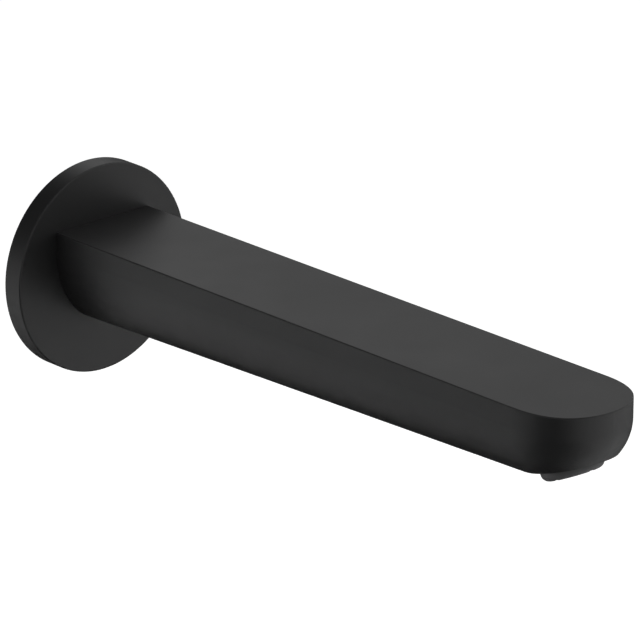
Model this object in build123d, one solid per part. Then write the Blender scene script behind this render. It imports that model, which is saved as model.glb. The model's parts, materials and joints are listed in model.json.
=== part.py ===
from build123d import *
from math import cos, pi, radians, sin, sqrt, tan
import os

# Wall-mounted bath spout: a cast spout on a wall flange, pushed over a connection nipple and held by a grub
# screw, with an aerator cartridge in a tilted outlet facet under the tip.
# Millimetres and degrees. The wall plane is Y = 0, the spout reaches along -Y, +Z is up, and the origin lies on
# the connection axis.

# Spout casting
projection = 230.0  # wall to the foremost point of the tip
spout_width = 38.0  # across the two vertical sides
side_height = 6.5  # vertical part of the sides, below the top
base_depth = 32.2  # flat top down to the underside, at the flange
underside_rise = 1.76  # the underside climbs by this angle towards the tip
tip_length = 21.5  # rounded end of the outline, seen from above
tip_side_pull = 0.86  # how far the sides run on into the tip's curve, as a share of its length
tip_front_pull = 0.35  # how flat the front is, as a share of the half width
front_fall = 18.0  # below the sides, the front turns under within this depth
casting_wall = 3.0
top_edge_round = 0.35

# Outlet facet and its threaded boss
outlet_setback = 16.3  # tip back to the outlet's centre
outlet_depth = 20.5  # flat top down to the outlet's centre
facet_tilt = 18.2  # the facet faces forward by this angle
outlet_tilt = 24.0  # the outlet's axis leans a little more
outlet_thread_diameter = 20.0
outlet_thread_depth = 8.2  # facet to the shoulder that the aerator's seal meets
shoulder_thickness = 2.0
shoulder_opening = 16.2
boss_wall = 2.5

# Wall flange
flange_diameter = 68.0
flange_thickness = 7.0
flange_wall = 2.5
flange_edge_round = 0.5
collar_wall = 2.5
collar_wall_gap = 1.5  # the collar stops this far from the wall plane
gasket_width = 6.0
gasket_clearance = 0.1

# Neck of the spout in the flange, with its retaining ring
neck_diameter = 28.0
neck_wall_gap = 1.0  # the neck stops this far from the wall plane
neck_clearance = 0.15
neck_ring_section = 1.5
neck_ring_reach = 3.6  # wall plane to the ring's middle

# Connection nipple
thread_diameter = 20.955  # half-inch pipe thread, over its crests
thread_length = 15.0
thread_chamfer = 1.0
spigot_diameter = 19.8
spigot_length = 36.0  # wall plane to the spigot's end
spigot_clearance = 0.1
spigot_chamfer = 0.8
socket_end_room = 3.0  # spigot's end to the waterway
waterway_diameter = 9.5
hex_key_size = 10.0
hex_key_depth = 14.0
spigot_ring_section = 2.2
spigot_ring_setback = 7.0  # spigot's end to the middle of the front ring
spigot_ring_pitch = 6.0
ring_groove_room = 0.6  # a ring's groove is wider than its section by this much
ring_squeeze_gap = 0.02  # left between a ring and the walls that it seals

# Grub screw and the nipple's lock groove
screw_diameter = 5.0
screw_clearance = 0.05
screw_recess = 0.8  # screw's end inside the underside
screw_point_diameter = 1.6
screw_key_size = 2.5
screw_key_depth = 2.5
lock_groove_reach = 14.0  # wall plane to the groove's middle
lock_groove_width = 6.0
lock_groove_depth = 1.6

# Aerator housing
lip_diameter = 19.0
lip_stand = 3.4  # lip proud of the outlet facet
lip_round = 2.4
lip_neck = 1.8  # plain length between the facet and the thread
lip_notches = 4
lip_notch_width = 2.4
lip_notch_depth = 0.9
mouth_diameter = 13.4
cartridge_diameter = 16.6
cartridge_clearance = 0.05
housing_thread_clearance = 0.1
seal_thickness = 1.6
seal_clearance = 0.35
seal_bore = 14.8

# Aerator cartridge, from the mouth inwards
grid_thickness = 2.0
grid_cell = 1.8  # across the flats of a honeycomb cell
grid_web = 0.45
screen_thickness = 0.7
screen_cell = 1.15
screen_bar = 0.5
jet_plate_thickness = 1.8
jet_diameter = 1.0
jet_pitch = 2.3  # from one ring of jets to the next
jet_rings = 3
regulator_thickness = 1.8
regulator_groove_radius = 5.0
regulator_groove_width = 2.8
regulator_groove_depth = 1.2
regulator_ring_section = 1.2
regulator_ports = 8
regulator_port_diameter = 1.7
strainer_rim_thickness = 1.2
strainer_height = 4.2
strainer_wall = 0.8
strainer_hole = 1.0
strainer_pitch = 2.2
strainer_rings = 2
cartridge_rim = 1.0  # solid rim round the perforated discs

# Places that follow from the sizes above
top_height = base_depth / 2  # the connection axis lies midway
crease_height = top_height - side_height
shoulder = tip_length - projection  # where the tip's curve starts
rear = -flange_thickness
neck_end = -neck_wall_gap
socket_radius = spigot_diameter / 2 + spigot_clearance
waterway_start = -spigot_length - socket_end_room
flange_bore = neck_diameter / 2 + neck_clearance
outlet_centre = Pos(0, outlet_setback - projection, top_height - outlet_depth)
facet_plane = outlet_centre * Rot(-facet_tilt, 0, 0) * Plane.XY
outlet_plane = outlet_centre * Rot(-outlet_tilt, 0, 0) * Plane.XY
housing_top = outlet_thread_depth - seal_thickness
disc_radius = cartridge_diameter / 2 - cartridge_clearance
strainer_base = housing_top - strainer_rim_thickness
regulator_base = strainer_base - regulator_thickness
jet_plate_base = regulator_base - jet_plate_thickness
upper_screen_base = jet_plate_base - screen_thickness
lower_screen_base = upper_screen_base - screen_thickness
grid_base = lower_screen_base - grid_thickness
front_ring_place = spigot_ring_setback - spigot_length
rear_ring_place = front_ring_place + spigot_ring_pitch


def underside_depth(y):
    """Depth of the rounded underside below the crease, at a distance along the spout."""
    return base_depth - side_height - (rear - y) * tan(radians(underside_rise))


def turned(points, axis=Axis.Y):
    """A solid turned about an axis, from points that give the radius and the place along that axis."""
    profile = make_face(Polyline(*points, close=True))
    plane = Plane.XY if axis == Axis.Y else Plane.XZ
    return revolve(plane * profile, axis)


def annulus(inner, outer, low, high, axis=Axis.Y):
    """A ring of rectangular section between two radii and two places along an axis."""
    return turned([(inner, low), (outer, low), (outer, high), (inner, high)], axis)


def round_ring(outer, section, y):
    """A squeezed round-section ring about the connection axis, seated inside a wall of radius outer."""
    drawn_section = section - 2 * ring_squeeze_gap
    return revolve(Pos(outer - section / 2, y) * Circle(drawn_section / 2), Axis.Y)


def ring_groove(outer, section, y):
    """The groove that carries such a ring, open to a little past the wall."""
    half_width = (section + ring_groove_room) / 2
    return annulus(outer - section, outer + section, y - half_width, y + half_width)


def disc(radius, thickness, base):
    """A plain disc about the Z axis."""
    return Pos(0, 0, base) * Cylinder(radius, thickness, align=(Align.CENTER, Align.CENTER, Align.MIN))


def perforated_disc(cell, places, thickness, base):
    """A disc of the aerator cartridge with a cell cut through at each place."""
    face = Circle(disc_radius) - [Pos(x, y) * cell for x, y in places]
    return Pos(0, 0, base) * extrude(face, thickness)


def circle_places(radius, count):
    """Points spaced evenly round a circle."""
    angles = [2 * pi * step / count for step in range(count)]
    return [(radius * cos(angle), radius * sin(angle)) for angle in angles]


def ring_places(pitch, rings):
    """A middle point and rings about it, each ring with six points more than the last."""
    places = [(0, 0)]
    for ring in range(1, rings + 1):
        places += circle_places(ring * pitch, 6 * ring)
    return places


def lattice_places(pitch, row_pitch, stagger, reach):
    """Points of a lattice whose rows are shifted in turn by stagger, out to a radius."""
    rows = int(reach / row_pitch) + 1
    columns = int(reach / pitch) + 1
    places = []
    for row in range(-rows, rows + 1):
        for column in range(-columns, columns + 1):
            x = column * pitch + (row % 2) * stagger
            y = row * row_pitch
            if x * x + y * y <= reach * reach:
                places.append((x, y))
    return places


def tip_outline(inset):
    """The tip's curve seen from above, on the right from the shoulder to the front, as the poles of a cubic."""
    half = spout_width / 2 - inset
    front = inset - projection
    side_pull = shoulder + tip_side_pull * (front - shoulder)
    return [(half, shoulder), (half, side_pull), (tip_front_pull * half, front), (0, front)]


def cross_section(y, inset):
    """The spout's section at y: flat top, vertical sides and an elliptic underside."""
    half = spout_width / 2 - inset
    depth = underside_depth(y) - inset
    head = side_height - inset
    edges = [
        EllipticalCenterArc((0, 0), half, depth, 180, arc_size=90),
        EllipticalCenterArc((0, 0), half, depth, 270, arc_size=90),
        Line((half, 0), (half, head)),
        Line((half, head), (-half, head)),
        Line((-half, head), (-half, 0)),
    ]
    plane = Plane(origin=(0, y, crease_height), x_dir=(1, 0, 0), z_dir=(0, -1, 0))
    return plane * make_face(edges)


def tip_underside(inset, side):
    """Half of the tip below the sides: elliptic arcs that turn smoothly from the spout's section to the front."""
    outline = tip_outline(inset)
    depth = underside_depth(shoulder) - inset
    falls = [depth, underside_depth(outline[1][1]) - inset, front_fall - inset, front_fall - inset]
    keel = (0, shoulder, crease_height - depth)
    poles = []
    for (x, y), fall in zip(outline, falls):
        poles.append([(side * x, y, crease_height), (side * x, y, crease_height - fall), keel])
    quarter_weights = [1, sqrt(0.5), 1]
    return Face.make_bezier_surface(poles, [quarter_weights] * len(poles))


def tip_form(inset):
    """The spout's form in front of the shoulder, closed by the section there."""
    up = side_height - inset
    faces = [cross_section(shoulder, inset)]
    rims = []
    for side in (1, -1):
        rim = Bezier(*[(side * x, y, crease_height) for x, y in tip_outline(inset)])
        rims.append(Pos(0, 0, up) * rim)
        faces.append(Face.extrude(rim, (0, 0, up)))
        faces.append(tip_underside(inset, side))
    faces.append(make_face(rims + [Line(rims[0] @ 0, rims[1] @ 0)]))
    return Solid(Shell(faces))


def spout_form(inset):
    """The spout's form without bores, drawn in from the outside by inset."""
    length = loft([cross_section(rear, inset), cross_section(shoulder, inset)], ruled=True)
    facet = facet_plane.offset(inset)
    return split(length + tip_form(inset), bisect_by=facet, keep=Keep.TOP)


def spout_body():
    """The hollow casting: form, neck, waterway, socket, outlet boss and screw hole."""
    outer = spout_form(0)
    top_face = outer.faces().sort_by(Axis.Z)[-1]
    top_edges = top_face.edges().sort_by(Axis.Y)[:-1]
    outer = fillet(top_edges, top_edge_round)
    neck = annulus(0, neck_diameter / 2, rear, neck_end)
    waterway = split(spout_form(casting_wall), bisect_by=Plane.XZ.offset(-waterway_start), keep=Keep.TOP)
    outlet_radius = outlet_thread_diameter / 2
    boss_height = outlet_thread_depth + shoulder_thickness
    waterway -= outlet_plane * disc(outlet_radius + boss_wall, boss_height, 0)
    outlet_bore = disc(outlet_radius, 2 * outlet_thread_depth, -outlet_thread_depth)
    opening = disc(shoulder_opening / 2, boss_height, shoulder_thickness)
    body = outer + neck - waterway
    body -= annulus(0, socket_radius, waterway_start - casting_wall, 0)
    body -= ring_groove(flange_bore, neck_ring_section, -neck_ring_reach)
    body -= outlet_plane * outlet_bore
    body -= outlet_plane * opening
    body -= Pos(0, -lock_groove_reach, 0) * disc(screw_diameter / 2 + screw_clearance, base_depth, -base_depth)
    return body


def wall_flange():
    """The hollow-backed disc with a collar round the spout's neck."""
    outer = flange_diameter / 2
    rim = outer - flange_wall
    plate = rear + flange_wall
    collar = flange_bore + collar_wall
    flange = turned([
        (flange_bore, rear),
        (outer, rear),
        (outer, 0),
        (rim, 0),
        (rim, plate),
        (collar, plate),
        (collar, -collar_wall_gap),
        (flange_bore, -collar_wall_gap),
    ])
    front_edges = flange.edges().filter_by(GeomType.CIRCLE).group_by(Axis.Y)[0]
    return fillet(front_edges.sort_by(SortBy.RADIUS)[-1], flange_edge_round)


def flange_gasket():
    outer = flange_diameter / 2 - flange_wall - gasket_clearance
    return annulus(outer - gasket_width, outer, rear + flange_wall, 0)


def flange_o_ring():
    return round_ring(flange_bore, neck_ring_section, -neck_ring_reach)


def connection_nipple():
    """Wall thread, plain spigot with its grooves, and a waterway that takes a hexagon key."""
    thread = thread_diameter / 2
    spigot = spigot_diameter / 2
    bore = waterway_diameter / 2
    nipple = turned([
        (bore, thread_length),
        (thread - thread_chamfer, thread_length),
        (thread, thread_length - thread_chamfer),
        (thread, 0),
        (spigot, 0),
        (spigot, spigot_chamfer - spigot_length),
        (spigot - spigot_chamfer, -spigot_length),
        (bore, -spigot_length),
    ])
    lock_half = lock_groove_width / 2
    lock_bottom = spigot - lock_groove_depth
    nipple -= annulus(lock_bottom, 2 * spigot, -lock_groove_reach - lock_half, -lock_groove_reach + lock_half)
    for y in (front_ring_place, rear_ring_place):
        nipple -= ring_groove(socket_radius, spigot_ring_section, y)
    key = RegularPolygon(hex_key_size / 2, 6, major_radius=False)
    key_plane = Plane(origin=(0, -spigot_length, 0), x_dir=(1, 0, 0), z_dir=(0, 1, 0))
    return nipple - extrude(key_plane * key, hex_key_depth)


def nipple_o_ring_rear():
    return round_ring(socket_radius, spigot_ring_section, rear_ring_place)


def nipple_o_ring_front():
    return round_ring(socket_radius, spigot_ring_section, front_ring_place)


def grub_screw():
    """A pointed screw, from just inside the underside up to the nipple's lock groove."""
    radius = screw_diameter / 2
    point = screw_point_diameter / 2
    head = crease_height - underside_depth(-lock_groove_reach) + screw_recess
    tip = lock_groove_depth - spigot_diameter / 2
    screw = turned([(0, head), (radius, head), (radius, tip - radius + point), (point, tip), (0, tip)], Axis.Z)
    key = RegularPolygon(screw_key_size / 2, 6, major_radius=False)
    screw -= Pos(0, 0, head) * extrude(key, screw_key_depth)
    return Pos(0, -lock_groove_reach, 0) * screw


def aerator_housing():
    """The threaded ring that carries the cartridge, with a rounded lip below the facet."""
    lip = lip_diameter / 2
    thread = outlet_thread_diameter / 2 - housing_thread_clearance
    mouth = mouth_diameter / 2
    bore = cartridge_diameter / 2
    housing = turned([
        (mouth, -lip_stand),
        (lip, -lip_stand),
        (lip, lip_neck),
        (thread, lip_neck),
        (thread, housing_top),
        (bore, housing_top),
        (bore, grid_base),
        (mouth, grid_base),
    ], Axis.Z)
    lip_edges = housing.edges().filter_by(GeomType.CIRCLE).group_by(Axis.Z)[0]
    housing = fillet(lip_edges.sort_by(SortBy.RADIUS)[-1], lip_round)
    notch_reach = (lip + mouth) / 2
    notch = Pos(0, 0, -lip_stand) * Box(2 * notch_reach, lip_notch_width, 2 * lip_notch_depth)
    for turn in range(lip_notches // 2):
        housing -= Rot(0, 0, 360 * turn / lip_notches) * notch
    return housing


def aerator_seal():
    outer = outlet_thread_diameter / 2 - seal_clearance
    return annulus(seal_bore / 2, outer, housing_top, outlet_thread_depth, Axis.Z)


def aerator_strainer():
    """A domed filter on a flat rim."""
    dome = seal_bore / 2 - seal_clearance
    hollow = dome - strainer_wall
    profile = make_face([
        EllipticalCenterArc((0, 0), dome, strainer_height, 0, arc_size=90),
        Line((0, strainer_height), (0, strainer_height - strainer_wall)),
        EllipticalCenterArc((0, 0), hollow, strainer_height - strainer_wall, 0, arc_size=90),
        Line((hollow, 0), (dome, 0)),
    ])
    strainer = Pos(0, 0, housing_top) * revolve(Plane.XZ * profile, Axis.Z)
    strainer += annulus(hollow, disc_radius, strainer_base, housing_top, Axis.Z)
    for x, y in ring_places(strainer_pitch, strainer_rings):
        strainer -= Pos(x, y, 0) * disc(strainer_hole / 2, strainer_height, housing_top)
    return strainer


def regulator_body():
    """The flow regulator's plate, with ports in the floor of its ring groove."""
    ports = circle_places(regulator_groove_radius, regulator_ports)
    plate = perforated_disc(Circle(regulator_port_diameter / 2), ports, regulator_thickness, regulator_base)
    inner = regulator_groove_radius - regulator_groove_width / 2
    outer = regulator_groove_radius + regulator_groove_width / 2
    return plate - annulus(inner, outer, strainer_base - regulator_groove_depth, strainer_base, Axis.Z)


def regulator_o_ring():
    height = strainer_base - regulator_groove_depth + regulator_ring_section / 2
    section = Pos(regulator_groove_radius, height) * Circle(regulator_ring_section / 2 - ring_squeeze_gap)
    return revolve(Plane.XZ * section, Axis.Z)


def jet_plate():
    places = ring_places(jet_pitch, jet_rings)
    return perforated_disc(Circle(jet_diameter / 2), places, jet_plate_thickness, jet_plate_base)


def mixing_screen(base):
    """A square lattice inside a solid rim."""
    pitch = screen_cell + screen_bar
    places = lattice_places(pitch, pitch, 0, disc_radius - cartridge_rim - screen_cell / 2)
    return perforated_disc(Rectangle(screen_cell, screen_cell), places, screen_thickness, base)


def mixing_screen_upper():
    return mixing_screen(upper_screen_base)


def mixing_screen_lower():
    """Turned against the upper screen, so that the bars cross."""
    return Rot(0, 0, 45) * mixing_screen(lower_screen_base)


def outlet_grid():
    """The honeycomb at the mouth."""
    pitch = grid_cell + grid_web
    places = lattice_places(pitch, pitch * sin(pi / 3), pitch / 2, mouth_diameter / 2 - grid_cell / 2)
    cell = RegularPolygon(grid_cell / 2, 6, major_radius=False, rotation=30)
    return perforated_disc(cell, places, grid_thickness, grid_base)


# Pieces about the connection axis, and those drawn about the outlet's own axis
wall_pieces = [
    spout_body,
    wall_flange,
    flange_gasket,
    flange_o_ring,
    connection_nipple,
    nipple_o_ring_rear,
    nipple_o_ring_front,
    grub_screw,
]
outlet_pieces = [
    aerator_housing,
    aerator_seal,
    aerator_strainer,
    regulator_body,
    regulator_o_ring,
    jet_plate,
    mixing_screen_upper,
    mixing_screen_lower,
    outlet_grid,
]

os.makedirs("parts", exist_ok=True)
for piece in wall_pieces:
    export_step(piece(), f"parts/{piece.__name__}.step")
for piece in outlet_pieces:
    export_step(outlet_plane * piece(), f"parts/{piece.__name__}.step")
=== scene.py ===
import json
import math
from typing import NamedTuple

import bmesh
import bpy
from bpy.props import FloatProperty, FloatVectorProperty, IntProperty, PointerProperty
from mathutils import Matrix, Vector

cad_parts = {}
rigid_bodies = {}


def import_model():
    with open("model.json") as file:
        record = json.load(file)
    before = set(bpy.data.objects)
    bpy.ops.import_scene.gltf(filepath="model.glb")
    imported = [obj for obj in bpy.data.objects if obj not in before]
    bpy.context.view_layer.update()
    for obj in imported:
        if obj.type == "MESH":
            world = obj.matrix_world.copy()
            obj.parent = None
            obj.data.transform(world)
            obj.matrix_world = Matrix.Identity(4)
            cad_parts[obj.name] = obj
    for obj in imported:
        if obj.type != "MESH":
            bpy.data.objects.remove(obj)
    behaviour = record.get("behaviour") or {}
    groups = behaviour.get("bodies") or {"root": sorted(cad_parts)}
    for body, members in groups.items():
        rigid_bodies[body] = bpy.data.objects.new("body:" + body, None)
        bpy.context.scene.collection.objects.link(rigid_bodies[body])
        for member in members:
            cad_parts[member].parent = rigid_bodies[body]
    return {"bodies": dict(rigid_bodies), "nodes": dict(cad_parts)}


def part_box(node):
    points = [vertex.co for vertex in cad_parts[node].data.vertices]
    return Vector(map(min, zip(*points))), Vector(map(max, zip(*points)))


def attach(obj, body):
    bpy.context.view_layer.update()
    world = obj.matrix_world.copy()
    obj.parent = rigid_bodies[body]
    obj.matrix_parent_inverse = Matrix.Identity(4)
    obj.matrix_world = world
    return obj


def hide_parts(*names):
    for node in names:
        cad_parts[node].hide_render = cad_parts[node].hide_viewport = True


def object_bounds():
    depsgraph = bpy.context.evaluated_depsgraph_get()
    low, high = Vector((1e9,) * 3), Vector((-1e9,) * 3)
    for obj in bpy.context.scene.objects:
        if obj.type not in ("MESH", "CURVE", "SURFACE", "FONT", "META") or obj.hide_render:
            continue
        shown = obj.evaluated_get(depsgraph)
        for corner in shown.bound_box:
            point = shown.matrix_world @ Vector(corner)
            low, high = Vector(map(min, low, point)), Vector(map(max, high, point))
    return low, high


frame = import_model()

bl_info = {
    "name": "Bath spout studio",
    "version": (1, 0, 0),
    "blender": (4, 5, 0),
    "location": "View3D > Sidebar > Bath spout",
    "description": "Threads and finishes the pieces of a bath spout and sets it in a white studio",
    "category": "Object",
}

# Blender's startup objects go first, because they would count in the bounds
frame_objects = set(frame["bodies"].values()) | set(frame["nodes"].values())
for startup_object in list(bpy.context.scene.objects):
    if startup_object not in frame_objects:
        bpy.data.objects.remove(startup_object)
cad_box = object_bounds()
UP = Vector((0, 0, 1))

COATED_NODES = ("spout_body", "wall_flange")
SEAL_NODES = (
    "flange_o_ring",
    "nipple_o_ring_rear",
    "nipple_o_ring_front",
    "aerator_seal",
    "regulator_o_ring",
)
CARTRIDGE_NODES = (
    "aerator_strainer",
    "regulator_body",
    "jet_plate",
    "mixing_screen_upper",
    "mixing_screen_lower",
    "outlet_grid",
)

# Sizes and places in the solids that their boxes don't give, in metres
WALL_PLANE = 0.0
NIPPLE_CHAMFER = 0.001
SCREW_POINT_RADIUS = 0.0008
OUTLET_CENTRE = (0.0, -0.2137, -0.0044)
OUTLET_TILT = math.radians(-24)
HOUSING_CREST = 0.0099
HOUSING_THREAD_LOW = 0.0018
HOUSING_THREAD_HIGH = 0.0066

# How a thread's mesh is cut and joined to its piece
HALF_FLAT = 0.09  # half of the flat at a crest or a root, as a share of the pitch
LEAD_TURNS = 2  # turns that start below the thread and are cut off
SPARE_TURNS = 3  # turns in all, beyond those that the thread's length takes
END_ROOM = 0.03  # the helix stops this share of the pitch inside each end
TURN_WELD = 1e-3  # share of the pitch within which one turn's end joins the next turn's start
CYLINDER_REACH = 0.85  # share of the crest's radius beyond which a side face is the plain cylinder's
CYLINDER_MARGIN = 0.02  # share of the crest's radius by which the cylinder may run past the thread
END_FACE_SLOPE = 0.9  # a face whose normal points along the axis by this share or more is an end face
ROOT_ROOM = 1e-4  # metres inside the roots within which an open edge still belongs to the thread
WELD_DISTANCE = 1e-6
LEVEL_TOLERANCE = 1e-5
CREASE_ANGLE = math.radians(28)

# The stretch of a noise pattern that most of its values fill
PATTERN_LOW = 0.3
PATTERN_HIGH = 0.7

# The stage, in metres
FLOOR_SIZE = 14.0
FLOOR_WHITE = (0.85, 0.85, 0.85, 1.0)
FLOOR_LIFT = 0.54  # light that the floor gives to rays that look at it
WHITE = (1.0, 1.0, 1.0, 1.0)
CLOTH_BLACK = (0.01, 0.01, 0.01)
CLOTH_FADE = 0.6  # share of the way in from its edge at which a cloth is at its densest
CLOTH_LIFT = 0.02  # the lowest cloth above the floor
CLOTH_STEP = 0.002  # each further cloth above the one before
LEFT_TURN = math.radians(-30)  # from the camera's bearing to the left of the stage
LEFT_CLOTH_REACH = 1.1
WALL_REACH = 2.0
REAR_SHIFT = Vector((0.59, -0.54, 0.0))
SKIRTING_REACH = 1.9
SKIRTING_DROP = Vector((0.0, 0.0, 0.2))
CANOPY_REACH = 1.2
CORNER_BEARING = Vector((-0.33, 0.69, 0.645))
BROW_BEARING = Vector((-0.34, -0.675, 0.625))


class FloorCloth(NamedTuple):
    """A gauze that lies on the floor: its size and the place of its middle."""

    name: str
    width: float
    length: float
    x: float
    y: float
    density: float = 1.0


FLOOR_CLOTHS = (
    FloorCloth("side_cloth", width=1.7, length=1.7, x=-1.3, y=0.65, density=0.55),
    FloorCloth("behind_cloth", width=2.9, length=2.8, x=0.8, y=0.7),
    FloorCloth("under_cloth", width=0.75, length=0.6, x=-0.07, y=-0.08),
    FloorCloth("near_cloth", width=0.62, length=1.1, x=0.25, y=0.32),
    FloorCloth("right_cloth", width=1.2, length=1.0, x=1.25, y=-0.45, density=0.6),
)


class SpoutThreads(bpy.types.PropertyGroup):
    """Sizes of the three screw threads, which the solids show as plain cylinders at their crests."""

    wall_pitch: FloatProperty(
        name="Wall thread pitch",
        description="From one crest of the half-inch pipe thread to the next",
        default=0.001814,
        unit="LENGTH",
    )
    wall_depth: FloatProperty(
        name="Wall thread depth",
        description="Crest to root of the half-inch pipe thread",
        default=0.001162,
        unit="LENGTH",
    )
    screw_pitch: FloatProperty(
        name="Screw pitch",
        description="From one crest of the grub screw's thread to the next",
        default=0.0008,
        unit="LENGTH",
    )
    screw_depth: FloatProperty(
        name="Screw thread depth",
        description="Crest to root of the grub screw's thread",
        default=0.00046,
        unit="LENGTH",
    )
    housing_pitch: FloatProperty(
        name="Housing pitch",
        description="From one crest of the aerator housing's thread to the next",
        default=0.001,
        unit="LENGTH",
    )
    housing_depth: FloatProperty(
        name="Housing thread depth",
        description="Crest to root of the aerator housing's thread",
        default=0.00055,
        unit="LENGTH",
    )
    steps: IntProperty(
        name="Steps in a turn",
        description="Facets round one turn of a thread",
        default=96,
        min=24,
    )


class SpoutFinishes(bpy.types.PropertyGroup):
    """Colours and textures of the finishes."""

    coat_colour: FloatVectorProperty(
        name="Coat colour",
        description="Satin black coating of the casting and the flange",
        default=(0.0085, 0.0085, 0.0088),
        subtype="COLOR",
        min=0.0,
        max=1.0,
    )
    coat_roughness: FloatProperty(
        name="Coat roughness",
        description="Middle of the coating's roughness",
        default=0.45,
        subtype="FACTOR",
        min=0.0,
        max=1.0,
    )
    coat_specular: FloatProperty(
        name="Coat reflection",
        description="Strength of the coating's reflection, where 0.5 is plain lacquer",
        default=0.35,
        subtype="FACTOR",
        min=0.0,
        max=1.0,
    )
    coat_grain: FloatProperty(
        name="Coat grain",
        description="Size of the fine grain in the coating",
        default=0.0006,
        unit="LENGTH",
    )
    brass_colour: FloatVectorProperty(
        name="Brass colour",
        description="Turned brass of the nipple",
        default=(0.72, 0.52, 0.24),
        subtype="COLOR",
        min=0.0,
        max=1.0,
    )
    steel_colour: FloatVectorProperty(
        name="Steel colour",
        description="Bright steel of the grub screw",
        default=(0.56, 0.56, 0.57),
        subtype="COLOR",
        min=0.0,
        max=1.0,
    )
    housing_colour: FloatVectorProperty(
        name="Housing colour",
        description="Dark plastic of the aerator's housing",
        default=(0.056, 0.056, 0.057),
        subtype="COLOR",
        min=0.0,
        max=1.0,
    )
    cartridge_colour: FloatVectorProperty(
        name="Cartridge colour",
        description="Pale plastic of the aerator's cartridge",
        default=(0.5, 0.51, 0.52),
        subtype="COLOR",
        min=0.0,
        max=1.0,
    )
    rubber_colour: FloatVectorProperty(
        name="Rubber colour",
        description="Black rubber of the seal rings",
        default=(0.018, 0.018, 0.018),
        subtype="COLOR",
        min=0.0,
        max=1.0,
    )
    gasket_colour: FloatVectorProperty(
        name="Gasket colour",
        description="Foam rubber of the wall gasket",
        default=(0.035, 0.035, 0.036),
        subtype="COLOR",
        min=0.0,
        max=1.0,
    )


class SpoutStage(bpy.types.PropertyGroup):
    """The camera and the studio."""

    camera_azimuth: FloatProperty(
        name="Camera azimuth",
        description="Turn of the view about the vertical, from a view straight at the wall",
        default=math.radians(-42.591),
        subtype="ANGLE",
    )
    camera_elevation: FloatProperty(
        name="Camera elevation",
        description="Height of the view above the horizon",
        default=math.radians(20.459),
        subtype="ANGLE",
    )
    camera_distance: FloatProperty(
        name="Camera distance",
        description="From the camera to the point that it looks at",
        default=1.5616,
        unit="LENGTH",
    )
    camera_target: FloatVectorProperty(
        name="Camera target",
        description="The point that the camera looks at",
        default=(0.009355, -0.09714, 0.004869),
        subtype="XYZ",
        unit="LENGTH",
    )
    camera_lens: FloatProperty(
        name="Lens",
        description="Focal length of the camera",
        default=290.52,
        unit="CAMERA",
    )
    floor_drop: FloatProperty(
        name="Floor drop",
        description="From the connection axis down to the studio floor",
        default=0.45,
        unit="LENGTH",
    )
    world_level: FloatProperty(
        name="Fill level",
        description="Even light from all round, where 1 is white",
        default=0.45,
        subtype="FACTOR",
        min=0.0,
        max=1.0,
    )
    left_power: FloatProperty(
        name="Left softbox",
        description="Power of the softbox to the left",
        default=8.0,
        unit="POWER",
        min=0.0,
    )
    right_power: FloatProperty(
        name="Right softbox",
        description="Power of the softbox to the right",
        default=8.0,
        unit="POWER",
        min=0.0,
    )
    top_power: FloatProperty(
        name="Top softbox",
        description="Power of the softbox above the spout",
        default=10.0,
        unit="POWER",
        min=0.0,
    )


def new_material(name):
    """A new node material with its main shader."""
    material = bpy.data.materials.new(name)
    material.use_nodes = True
    return material, material.node_tree, material.node_tree.nodes["Principled BSDF"]


def add_node(tree, kind, inputs=None, **settings):
    """A new node, with its settings and the values of its sockets."""
    made = tree.nodes.new(kind)
    for name, value in settings.items():
        setattr(made, name, value)
    for name, value in (inputs or {}).items():
        made.inputs[name].default_value = value
    return made


def object_noise(tree, grain, detail=2.0, stretch=(1.0, 1.0, 1.0)):
    """Noise whose spots are about grain metres across, stretched by a factor along each axis."""
    coordinates = add_node(tree, "ShaderNodeTexCoord")
    mapping = add_node(tree, "ShaderNodeMapping")
    mapping.inputs["Scale"].default_value = [1.0 / (grain * factor) for factor in stretch]
    noise = add_node(tree, "ShaderNodeTexNoise", {"Scale": 1.0, "Detail": detail})
    tree.links.new(coordinates.outputs["Object"], mapping.inputs["Vector"])
    tree.links.new(mapping.outputs["Vector"], noise.inputs["Vector"])
    return noise.outputs[0]


def drive_range(tree, source, socket, low, high):
    """Feeds a pattern to a number socket, spread between two values."""
    spread = add_node(tree, "ShaderNodeMapRange", {"To Min": low, "To Max": high})
    spread.inputs["From Min"].default_value = PATTERN_LOW
    spread.inputs["From Max"].default_value = PATTERN_HIGH
    tree.links.new(source, spread.inputs["Value"])
    tree.links.new(spread.outputs["Result"], socket)


def drive_colour(tree, source, socket, colour, spread):
    """Feeds a pattern to a colour socket, as a colour that varies by a share either way."""
    mix = add_node(tree, "ShaderNodeMix", data_type="RGBA")
    mix.inputs["A"].default_value = [channel * (1.0 - spread) for channel in colour] + [1.0]
    mix.inputs["B"].default_value = [channel * (1.0 + spread) for channel in colour] + [1.0]
    tree.links.new(source, mix.inputs["Factor"])
    tree.links.new(mix.outputs["Result"], socket)


def drive_bump(tree, source, shader, height, strength):
    """Feeds a pattern to the shader's normal as a relief of that height."""
    bump = add_node(tree, "ShaderNodeBump", {"Strength": strength, "Distance": height})
    tree.links.new(source, bump.inputs["Height"])
    tree.links.new(bump.outputs["Normal"], shader.inputs["Normal"])


def mix_shaders(tree, factor, first, second, output):
    """Shows a mix of two shaders, all of the second where the factor is 1."""
    mix = add_node(tree, "ShaderNodeMixShader")
    for socket, source in zip(mix.inputs, (factor, first, second)):
        tree.links.new(source, socket)
    tree.links.new(mix.outputs["Shader"], tree.nodes[output].inputs["Surface"])


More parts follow.
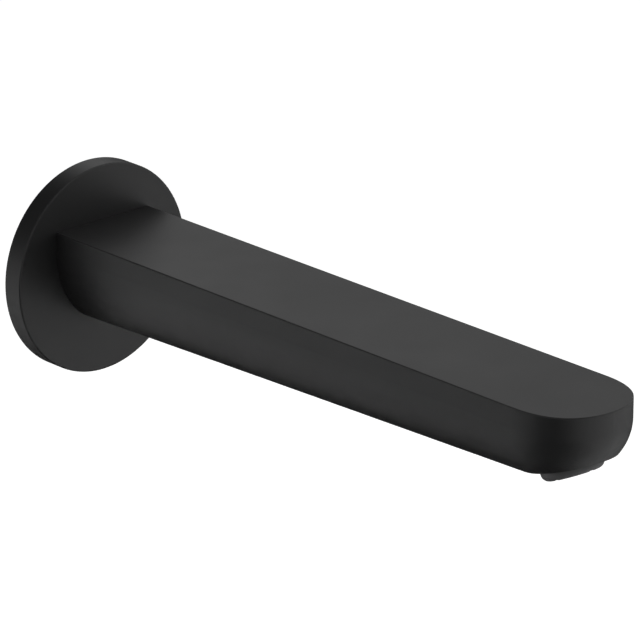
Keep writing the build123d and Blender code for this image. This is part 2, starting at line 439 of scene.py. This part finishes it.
def satin_coat(finishes):
    """Satin black coating: even, with a very fine grain and slow drifts of gloss."""
    material, tree, shader = new_material("satin_black_coat")
    shader.inputs["Specular IOR Level"].default_value = finishes.coat_specular
    drift = object_noise(tree, grain=0.03)
    grain = object_noise(tree, grain=finishes.coat_grain, detail=3.0)
    middle = finishes.coat_roughness
    either_way = 0.02
    drive_colour(tree, drift, shader.inputs["Base Color"], finishes.coat_colour, spread=0.12)
    drive_range(tree, drift, shader.inputs["Roughness"], middle - either_way, middle + either_way)
    drive_bump(tree, grain, shader, height=finishes.coat_grain * 0.1, strength=0.12)
    return material


def turned_metal(name, colour, stretch, roughness):
    """Bright metal with fine tool marks that run round its axis."""
    material, tree, shader = new_material(name)
    shader.inputs["Metallic"].default_value = 1.0
    marks = object_noise(tree, grain=0.00018, detail=3.0, stretch=stretch)
    stain = object_noise(tree, grain=0.006, detail=4.0)
    smoother = 0.08
    rougher = 0.1
    drive_colour(tree, stain, shader.inputs["Base Color"], colour, spread=0.14)
    drive_range(tree, marks, shader.inputs["Roughness"], roughness - smoother, roughness + rougher)
    drive_bump(tree, marks, shader, height=0.00004, strength=0.35)
    return material


def moulded_plastic(name, colour, roughness, specular):
    """Moulded plastic with a faint spark-eroded texture."""
    material, tree, shader = new_material(name)
    shader.inputs["Specular IOR Level"].default_value = specular
    texture = object_noise(tree, grain=0.00035, detail=3.0)
    cloud = object_noise(tree, grain=0.004)
    either_way = 0.05
    drive_colour(tree, cloud, shader.inputs["Base Color"], colour, spread=0.1)
    drive_range(tree, texture, shader.inputs["Roughness"], roughness - either_way, roughness + either_way)
    drive_bump(tree, texture, shader, height=0.00003, strength=0.3)
    return material


def seal_rubber(finishes):
    """Matte black rubber with a little bloom."""
    material, tree, shader = new_material("seal_rubber")
    shader.inputs["Specular IOR Level"].default_value = 0.35
    bloom = object_noise(tree, grain=0.0012, detail=4.0)
    drive_colour(tree, bloom, shader.inputs["Base Color"], finishes.rubber_colour, spread=0.3)
    drive_range(tree, bloom, shader.inputs["Roughness"], low=0.55, high=0.72)
    drive_bump(tree, bloom, shader, height=0.00003, strength=0.25)
    return material


def foam_rubber(finishes):
    """Closed-cell foam with small open pores on its cut faces, each pore painted darker towards its bottom
    as painted shade.
    """
    material, tree, shader = new_material("foam_gasket")
    shader.inputs["Specular IOR Level"].default_value = 0.2
    pores_in_a_metre = 1500.0
    coordinates = add_node(tree, "ShaderNodeTexCoord")
    pores = add_node(tree, "ShaderNodeTexVoronoi", {"Scale": pores_in_a_metre})
    tree.links.new(coordinates.outputs["Object"], pores.inputs["Vector"])
    depth = pores.outputs["Distance"]
    # painted shade: the colour is darkest where the bump sinks deepest, at the bottom of each pore
    drive_colour(tree, depth, shader.inputs["Base Color"], finishes.gasket_colour, spread=0.45)
    drive_range(tree, depth, shader.inputs["Roughness"], low=0.8, high=0.95)
    drive_bump(tree, depth, shader, height=0.0002, strength=0.6)
    return material


def dress(nodes, material):
    """Gives CAD nodes a finish."""
    for name in nodes:
        mesh = frame["nodes"][name].data
        mesh.materials.clear()
        mesh.materials.append(material)


class Thread(NamedTuple):
    """A right-handed screw thread about the Z axis, between two heights, in metres."""

    crest: float
    depth: float
    pitch: float
    low: float
    high: float
    end_chamfer: float = 0.0

    def ends(self):
        """Each end's height, with the height just inside it at which the helix stops."""
        room = END_ROOM * self.pitch
        return (self.low, self.low + room), (self.high, self.high - room)


def radius_of(point):
    """Distance from the Z axis."""
    return math.hypot(point.x, point.y)


def lies_level(edge, height):
    """Whether an edge lies at a height on the Z axis."""
    return all(abs(vert.co.z - height) < LEVEL_TOLERANCE for vert in edge.verts)


def merged_copy(node):
    """A bmesh of a CAD node whose loose triangles are welded."""
    bm = bmesh.new()
    bm.from_mesh(frame["nodes"][node].data)
    bmesh.ops.remove_doubles(bm, verts=bm.verts, dist=WELD_DISTANCE)
    return bm


def clear_crests(bm, thread):
    """Takes away the plain cylinder at the crests."""
    margin = CYLINDER_MARGIN * thread.crest
    reach = CYLINDER_REACH * thread.crest
    doomed = []
    for face in bm.faces:
        middle = face.calc_center_median()
        on_side = abs(face.normal.z) < END_FACE_SLOPE and radius_of(middle) > reach
        if on_side and thread.low - margin < middle.z < thread.high + margin:
            doomed.append(face)
    bmesh.ops.delete(bm, geom=doomed, context="FACES")


def open_loop(bm, height, reach):
    """The open edges that lie at a height on the Z axis and further out than reach."""
    edges = []
    for edge in bm.edges:
        if edge.is_boundary and lies_level(edge, height) and radius_of(edge.verts[0].co) > reach:
            edges.append(edge)
    return edges


def screw_band(thread, steps):
    """The flanks, crests and roots of a thread, cut off square just inside both ends."""
    bm = bmesh.new()
    turns = math.ceil((thread.high - thread.low) / thread.pitch) + SPARE_TURNS
    start = thread.low - LEAD_TURNS * thread.pitch
    root = thread.crest - thread.depth
    corners = (
        (0.0, thread.crest),
        (HALF_FLAT, thread.crest),
        (0.5 - HALF_FLAT, root),
        (0.5 + HALF_FLAT, root),
        (1.0 - HALF_FLAT, thread.crest),
    )
    verts = []
    for turn in range(turns):
        for share, radius in corners:
            verts.append(bm.verts.new((radius, 0.0, start + (turn + share) * thread.pitch)))
    edges = [bm.edges.new(pair) for pair in zip(verts, verts[1:])]
    bmesh.ops.spin(
        bm,
        geom=verts + edges,
        cent=(0, 0, 0),
        axis=UP,
        dvec=(0, 0, thread.pitch / steps),
        angle=math.tau,
        steps=steps,
    )
    bmesh.ops.remove_doubles(bm, verts=bm.verts, dist=TURN_WELD * thread.pitch)
    (_, lower_cut), (_, upper_cut) = thread.ends()
    for height, outwards in ((lower_cut, -UP), (upper_cut, UP)):
        geometry = bm.verts[:] + bm.edges[:] + bm.faces[:]
        middle = UP * height
        bmesh.ops.bisect_plane(bm, geom=geometry, plane_co=middle, plane_no=outwards, clear_outer=True)
    for vert in bm.verts:
        limit = thread.crest - max(0.0, vert.co.z - (thread.high - thread.end_chamfer))
        radius = radius_of(vert.co)
        if radius > limit:
            vert.co.xy = vert.co.xy * (limit / radius)
    return bm


def join_band(bm, name, thread, steps):
    """Sets the helix of a thread into the gap that its plain cylinder left."""
    band = screw_band(thread, steps)
    band_mesh = bpy.data.meshes.new(name + "_band")
    band.to_mesh(band_mesh)
    band.free()
    bm.from_mesh(band_mesh)
    bpy.data.meshes.remove(band_mesh)
    reach = thread.crest - thread.depth - thread.end_chamfer - ROOT_ROOM
    for end, stop in thread.ends():
        piece_edges = open_loop(bm, end, reach)
        helix_edges = open_loop(bm, stop, reach)
        if not piece_edges or not helix_edges:
            raise RuntimeError(f"{name}: the thread doesn't meet its piece at {end:.5f}")
        bmesh.ops.bridge_loops(bm, edges=piece_edges + helix_edges)
    bmesh.ops.triangulate(bm, faces=bm.faces)
    bmesh.ops.recalc_face_normals(bm, faces=bm.faces)
    open_edges = sum(1 for edge in bm.edges if not edge.is_manifold)
    if open_edges:
        raise RuntimeError(f"{name}: {open_edges} open edges")


def mark_creases(bm, thread):
    """Shades the faces smooth, with sharp edges at the creases and at both ends of the thread."""
    for edge in bm.edges:
        at_end = lies_level(edge, thread.low) or lies_level(edge, thread.high)
        edge.smooth = not at_end and edge.calc_face_angle() < CREASE_ANGLE
    for face in bm.faces:
        face.smooth = True


def cut_thread(node, name, axis, thread, steps):
    """A copy of a CAD node with a helical thread in place of the plain cylinder at its crests."""
    bm = merged_copy(node)
    bm.transform(axis.inverted())
    bm.normal_update()
    clear_crests(bm, thread)
    join_band(bm, name, thread, steps)
    mark_creases(bm, thread)
    bm.transform(axis)
    mesh = bpy.data.meshes.new(name)
    bm.to_mesh(mesh)
    bm.free()
    piece = bpy.data.objects.new(name, mesh)
    bpy.context.scene.collection.objects.link(piece)
    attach(piece, "root")
    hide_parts(node)
    return piece


class SPOUT_OT_coat(bpy.types.Operator):
    """Coat the casting and the wall flange"""

    bl_idname = "spout.coat"
    bl_label = "Coat the casting"

    def execute(self, context):
        dress(COATED_NODES, satin_coat(context.scene.spout_finishes))
        return {"FINISHED"}


class SPOUT_OT_nipple(bpy.types.Operator):
    """Cut the wall thread of the connection nipple"""

    bl_idname = "spout.nipple"
    bl_label = "Thread the nipple"

    def execute(self, context):
        threads = context.scene.spout_threads
        finishes = context.scene.spout_finishes
        nipple_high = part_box("connection_nipple")[1]
        thread = Thread(
            crest=nipple_high.x,
            depth=threads.wall_depth,
            pitch=threads.wall_pitch,
            low=WALL_PLANE,
            high=nipple_high.y,
            end_chamfer=NIPPLE_CHAMFER,
        )
        axis = Matrix.Rotation(math.radians(-90), 4, "X")
        piece = cut_thread("connection_nipple", "threaded_nipple", axis, thread, threads.steps)
        round_y = (60.0, 1.0, 60.0)
        brass = turned_metal("turned_brass", finishes.brass_colour, stretch=round_y, roughness=0.26)
        piece.data.materials.append(brass)
        return {"FINISHED"}


class SPOUT_OT_screw(bpy.types.Operator):
    """Cut the thread of the grub screw"""

    bl_idname = "spout.screw"
    bl_label = "Thread the grub screw"

    def execute(self, context):
        threads = context.scene.spout_threads
        finishes = context.scene.spout_finishes
        screw_low, screw_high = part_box("grub_screw")
        middle = (screw_low + screw_high) / 2
        crest = (screw_high.x - screw_low.x) / 2
        thread = Thread(
            crest=crest,
            depth=threads.screw_depth,
            pitch=threads.screw_pitch,
            low=screw_low.z,
            high=screw_high.z - (crest - SCREW_POINT_RADIUS),
        )
        axis = Matrix.Translation((middle.x, middle.y, 0))
        piece = cut_thread("grub_screw", "threaded_grub_screw", axis, thread, threads.steps)
        round_z = (40.0, 40.0, 1.0)
        steel = turned_metal("screw_steel", finishes.steel_colour, stretch=round_z, roughness=0.28)
        piece.data.materials.append(steel)
        return {"FINISHED"}


class SPOUT_OT_aerator(bpy.types.Operator):
    """Cut the thread of the aerator's housing and finish its cartridge"""

    bl_idname = "spout.aerator"
    bl_label = "Finish the aerator"

    def execute(self, context):
        threads = context.scene.spout_threads
        finishes = context.scene.spout_finishes
        thread = Thread(
            crest=HOUSING_CREST,
            depth=threads.housing_depth,
            pitch=threads.housing_pitch,
            low=HOUSING_THREAD_LOW,
            high=HOUSING_THREAD_HIGH,
        )
        axis = Matrix.Translation(OUTLET_CENTRE) @ Matrix.Rotation(OUTLET_TILT, 4, "X")
        piece = cut_thread("aerator_housing", "threaded_aerator_housing", axis, thread, threads.steps)
        dark = moulded_plastic("housing_plastic", finishes.housing_colour, roughness=0.5, specular=0.3)
        piece.data.materials.append(dark)
        pale = moulded_plastic("cartridge_plastic", finishes.cartridge_colour, roughness=0.42, specular=0.5)
        dress(CARTRIDGE_NODES, pale)
        return {"FINISHED"}


class SPOUT_OT_seals(bpy.types.Operator):
    """Finish the seal rings and the wall gasket"""

    bl_idname = "spout.seals"
    bl_label = "Finish the seals"

    def execute(self, context):
        finishes = context.scene.spout_finishes
        dress(SEAL_NODES, seal_rubber(finishes))
        dress(("flange_gasket",), foam_rubber(finishes))
        return {"FINISHED"}


def background_rays(tree):
    """1 for a ray from the camera, a reflection or a refraction, and 0 for light that falls on a surface."""
    path = add_node(tree, "ShaderNodeLightPath")
    total = path.outputs["Is Camera Ray"]
    for name in ("Is Glossy Ray", "Is Transmission Ray"):
        joined = add_node(tree, "ShaderNodeMath", operation="MAXIMUM")
        tree.links.new(total, joined.inputs[0])
        tree.links.new(path.outputs[name], joined.inputs[1])
        total = joined.outputs["Value"]
    return total


def white_world(level):
    """A world that is white to look at and gives an even fill of that level."""
    world = bpy.data.worlds.new("studio")
    world.use_nodes = True
    tree = world.node_tree
    fill = tree.nodes["Background"]
    fill.inputs["Color"].default_value = WHITE
    fill.inputs["Strength"].default_value = level
    seen = add_node(tree, "ShaderNodeBackground", {"Color": WHITE, "Strength": 1.0})
    mix_shaders(tree, background_rays(tree), fill.outputs[0], seen.outputs[0], "World Output")
    return world


def floor_paint():
    """White paint, lifted a little for rays that look at it so that it is as white as the world, and clear
    from below."""
    material, tree, shader = new_material("white_floor")
    tree.nodes.remove(shader)
    paint = add_node(tree, "ShaderNodeBsdfDiffuse", {"Color": FLOOR_WHITE})
    lift = add_node(tree, "ShaderNodeEmission", {"Color": WHITE})
    both = add_node(tree, "ShaderNodeAddShader")
    scaled = add_node(tree, "ShaderNodeMath", operation="MULTIPLY")
    scaled.inputs[1].default_value = FLOOR_LIFT
    tree.links.new(background_rays(tree), scaled.inputs[0])
    tree.links.new(scaled.outputs["Value"], lift.inputs["Strength"])
    tree.links.new(paint.outputs[0], both.inputs[0])
    tree.links.new(lift.outputs[0], both.inputs[1])
    below = add_node(tree, "ShaderNodeNewGeometry").outputs["Backfacing"]
    clear = add_node(tree, "ShaderNodeBsdfTransparent")
    mix_shaders(tree, below, both.outputs[0], clear.outputs[0], "Material Output")
    return material


def soft_cloth(name, density):
    """Black studio gauze, densest in the middle of its card and clear at the edge."""
    material, tree, shader = new_material(name)
    shader.inputs["Roughness"].default_value = 1.0
    shader.inputs["Specular IOR Level"].default_value = 0.0
    weave = object_noise(tree, grain=0.004)
    drive_colour(tree, weave, shader.inputs["Base Color"], CLOTH_BLACK, spread=0.2)
    coordinates = add_node(tree, "ShaderNodeTexCoord")
    centred = add_node(tree, "ShaderNodeMapping", {"Location": (-1.0, -1.0, 0.0), "Scale": (2.0, 2.0, 1.0)})
    fade = add_node(tree, "ShaderNodeTexGradient", gradient_type="SPHERICAL")
    cover = add_node(tree, "ShaderNodeMapRange", {"From Max": CLOTH_FADE, "To Max": density})
    cover.interpolation_type = "SMOOTHSTEP"
    clear = add_node(tree, "ShaderNodeBsdfTransparent")
    tree.links.new(coordinates.outputs["UV"], centred.inputs["Vector"])
    tree.links.new(centred.outputs["Vector"], fade.inputs["Vector"])
    tree.links.new(fade.outputs["Fac"], cover.inputs["Value"])
    mix_shaders(tree, cover.outputs["Result"], clear.outputs[0], shader.outputs[0], "Material Output")
    return material


def stage_card(name, width, length, place, facing, material, along=(0, 1, 0)):
    """A flat card of the stage that faces a direction, with its length as near as can be along another."""
    mesh = bpy.data.meshes.new(name)
    bm = bmesh.new()
    bm.loops.layers.uv.new("card")
    bmesh.ops.create_grid(bm, x_segments=1, y_segments=1, size=0.5, calc_uvs=True)
    bmesh.ops.scale(bm, vec=(width, length, 1.0), verts=bm.verts)
    normal = Vector(facing).normalized()
    across = Vector(along).cross(normal).normalized()
    turn = Matrix((across, normal.cross(across), normal)).transposed().to_4x4()
    bm.transform(Matrix.Translation(Vector(place)) @ turn)
    bm.to_mesh(mesh)
    bm.free()
    card = bpy.data.objects.new(name, mesh)
    mesh.materials.append(material)
    bpy.context.scene.collection.objects.link(card)
    return card


def reflected_cloth(name, width, length, place, facing, density=1.0, along=(0, 1, 0)):
    """A gauze that only shows in reflections, so that it shades neither the floor nor the object."""
    card = stage_card(name, width, length, place, facing, soft_cloth(name, density), along)
    card.visible_camera = False
    card.visible_diffuse = False
    card.visible_shadow = False


def soft_box(name, target, offset, size, power):
    """A square soft lamp that points at the target and that neither the camera nor a reflection shows."""
    lamp = bpy.data.lights.new(name, "AREA")
    lamp.energy = power
    lamp.size = size
    box = bpy.data.objects.new(name, lamp)
    place = target + Vector(offset)
    box.location = place
    box.rotation_mode = "QUATERNION"
    box.rotation_quaternion = (target - place).to_track_quat("-Z", "Y")
    box.visible_camera = False
    box.visible_glossy = False
    bpy.context.scene.collection.objects.link(box)


def bearing(azimuth, elevation=0.0):
    """The direction from the spout to a camera at that azimuth and elevation."""
    level = math.cos(elevation)
    return Vector((math.sin(azimuth) * level, -math.cos(azimuth) * level, math.sin(elevation)))


def place_camera(scene, stage):
    """Sets up the camera at the photograph's viewing angle."""
    back = bearing(stage.camera_azimuth, stage.camera_elevation)
    camera = bpy.data.objects.new("camera", bpy.data.cameras.new("camera"))
    camera.data.lens = stage.camera_lens
    camera.location = Vector(stage.camera_target) + back * stage.camera_distance
    camera.rotation_mode = "QUATERNION"
    camera.rotation_quaternion = (-back).to_track_quat("-Z", "Y")
    scene.collection.objects.link(camera)
    scene.camera = camera


def set_cloths(stage):
    """Lays and hangs the gauzes that give the satin coat its soft dark zones."""
    target = Vector(stage.camera_target)
    ahead = bearing(stage.camera_azimuth)
    left = Matrix.Rotation(LEFT_TURN, 3, "Z") @ ahead
    ground = CLOTH_LIFT - stage.floor_drop
    front = Vector((0, cad_box[0].y, ground)) + left * LEFT_CLOTH_REACH
    reflected_cloth("left_cloth", width=2.4, length=3.0, place=front, facing=UP, along=left)
    left_wall = target + left * WALL_REACH
    reflected_cloth("left_wall_cloth", width=2.4, length=1.8, place=left_wall, facing=left, along=UP)
    for layer, cloth in enumerate(FLOOR_CLOTHS, start=1):
        place = (cloth.x, cloth.y, ground + layer * CLOTH_STEP)
        reflected_cloth(cloth.name, cloth.width, cloth.length, place, facing=UP, density=cloth.density)
    rear = target - ahead * WALL_REACH + REAR_SHIFT
    reflected_cloth("rear_cloth", width=3.0, length=2.6, place=rear, facing=ahead, density=0.9, along=UP)
    skirting = target - ahead * SKIRTING_REACH - SKIRTING_DROP
    reflected_cloth("skirting_cloth", width=4.0, length=1.1, place=skirting, facing=ahead, along=UP)
    corner = target + CORNER_BEARING * CANOPY_REACH
    reflected_cloth("corner_cloth", width=3.0, length=3.4, place=corner, facing=target - corner)
    brow = target + BROW_BEARING * CANOPY_REACH
    reflected_cloth("brow_cloth", width=2.0, length=2.0, place=brow, facing=target - brow)


class SPOUT_OT_stage(bpy.types.Operator):
    """Set the camera, the lights, the floor and the black gauzes"""

    bl_idname = "spout.stage"
    bl_label = "Set the stage"

    def execute(self, context):
        scene = context.scene
        stage = scene.spout_stage
        target = Vector(stage.camera_target)
        scene.view_settings.view_transform = "Standard"
        scene.world = white_world(stage.world_level)
        place_camera(scene, stage)
        stage_card("floor", FLOOR_SIZE, FLOOR_SIZE, (0, 0, -stage.floor_drop), UP, floor_paint())
        set_cloths(stage)
        soft_box("left_box", target, offset=(-1.6, 0.4, 0.5), size=1.0, power=stage.left_power)
        soft_box("right_box", target, offset=(1.5, -0.9, 0.3), size=1.0, power=stage.right_power)
        soft_box("top_box", target, offset=(0.0, -0.2, 1.9), size=1.2, power=stage.top_power)
        return {"FINISHED"}


GROUPS = (
    ("spout_threads", SpoutThreads),
    ("spout_finishes", SpoutFinishes),
    ("spout_stage", SpoutStage),
)
OPERATORS = (
    SPOUT_OT_coat,
    SPOUT_OT_nipple,
    SPOUT_OT_screw,
    SPOUT_OT_aerator,
    SPOUT_OT_seals,
    SPOUT_OT_stage,
)


class SPOUT_PT_studio(bpy.types.Panel):
    """The spout's sizes, finishes and stage"""

    bl_idname = "SPOUT_PT_studio"
    bl_label = "Bath spout"
    bl_space_type = "VIEW_3D"
    bl_region_type = "UI"
    bl_category = "Bath spout"

    def draw(self, context):
        layout = self.layout
        for operator in OPERATORS:
            layout.operator(operator.bl_idname)
        for attribute, group in GROUPS:
            for name in group.__annotations__:
                layout.prop(getattr(context.scene, attribute), name)


def register():
    """Adds the settings, the operators and the panel to Blender."""
    for attribute, group in GROUPS:
        bpy.utils.register_class(group)
        setattr(bpy.types.Scene, attribute, PointerProperty(type=group))
    for operator in OPERATORS:
        bpy.utils.register_class(operator)
    bpy.utils.register_class(SPOUT_PT_studio)


def unregister():
    """Takes them out again, in the opposite order."""
    bpy.utils.unregister_class(SPOUT_PT_studio)
    for operator in reversed(OPERATORS):
        bpy.utils.unregister_class(operator)
    for attribute, group in reversed(GROUPS):
        delattr(bpy.types.Scene, attribute)
        bpy.utils.unregister_class(group)


def main():
    """Builds the spout and its stage."""
    register()
    bpy.ops.spout.coat()
    bpy.ops.spout.nipple()
    bpy.ops.spout.screw()
    bpy.ops.spout.aerator()
    bpy.ops.spout.seals()
    bpy.ops.spout.stage()


if __name__ == "__main__":
    main()
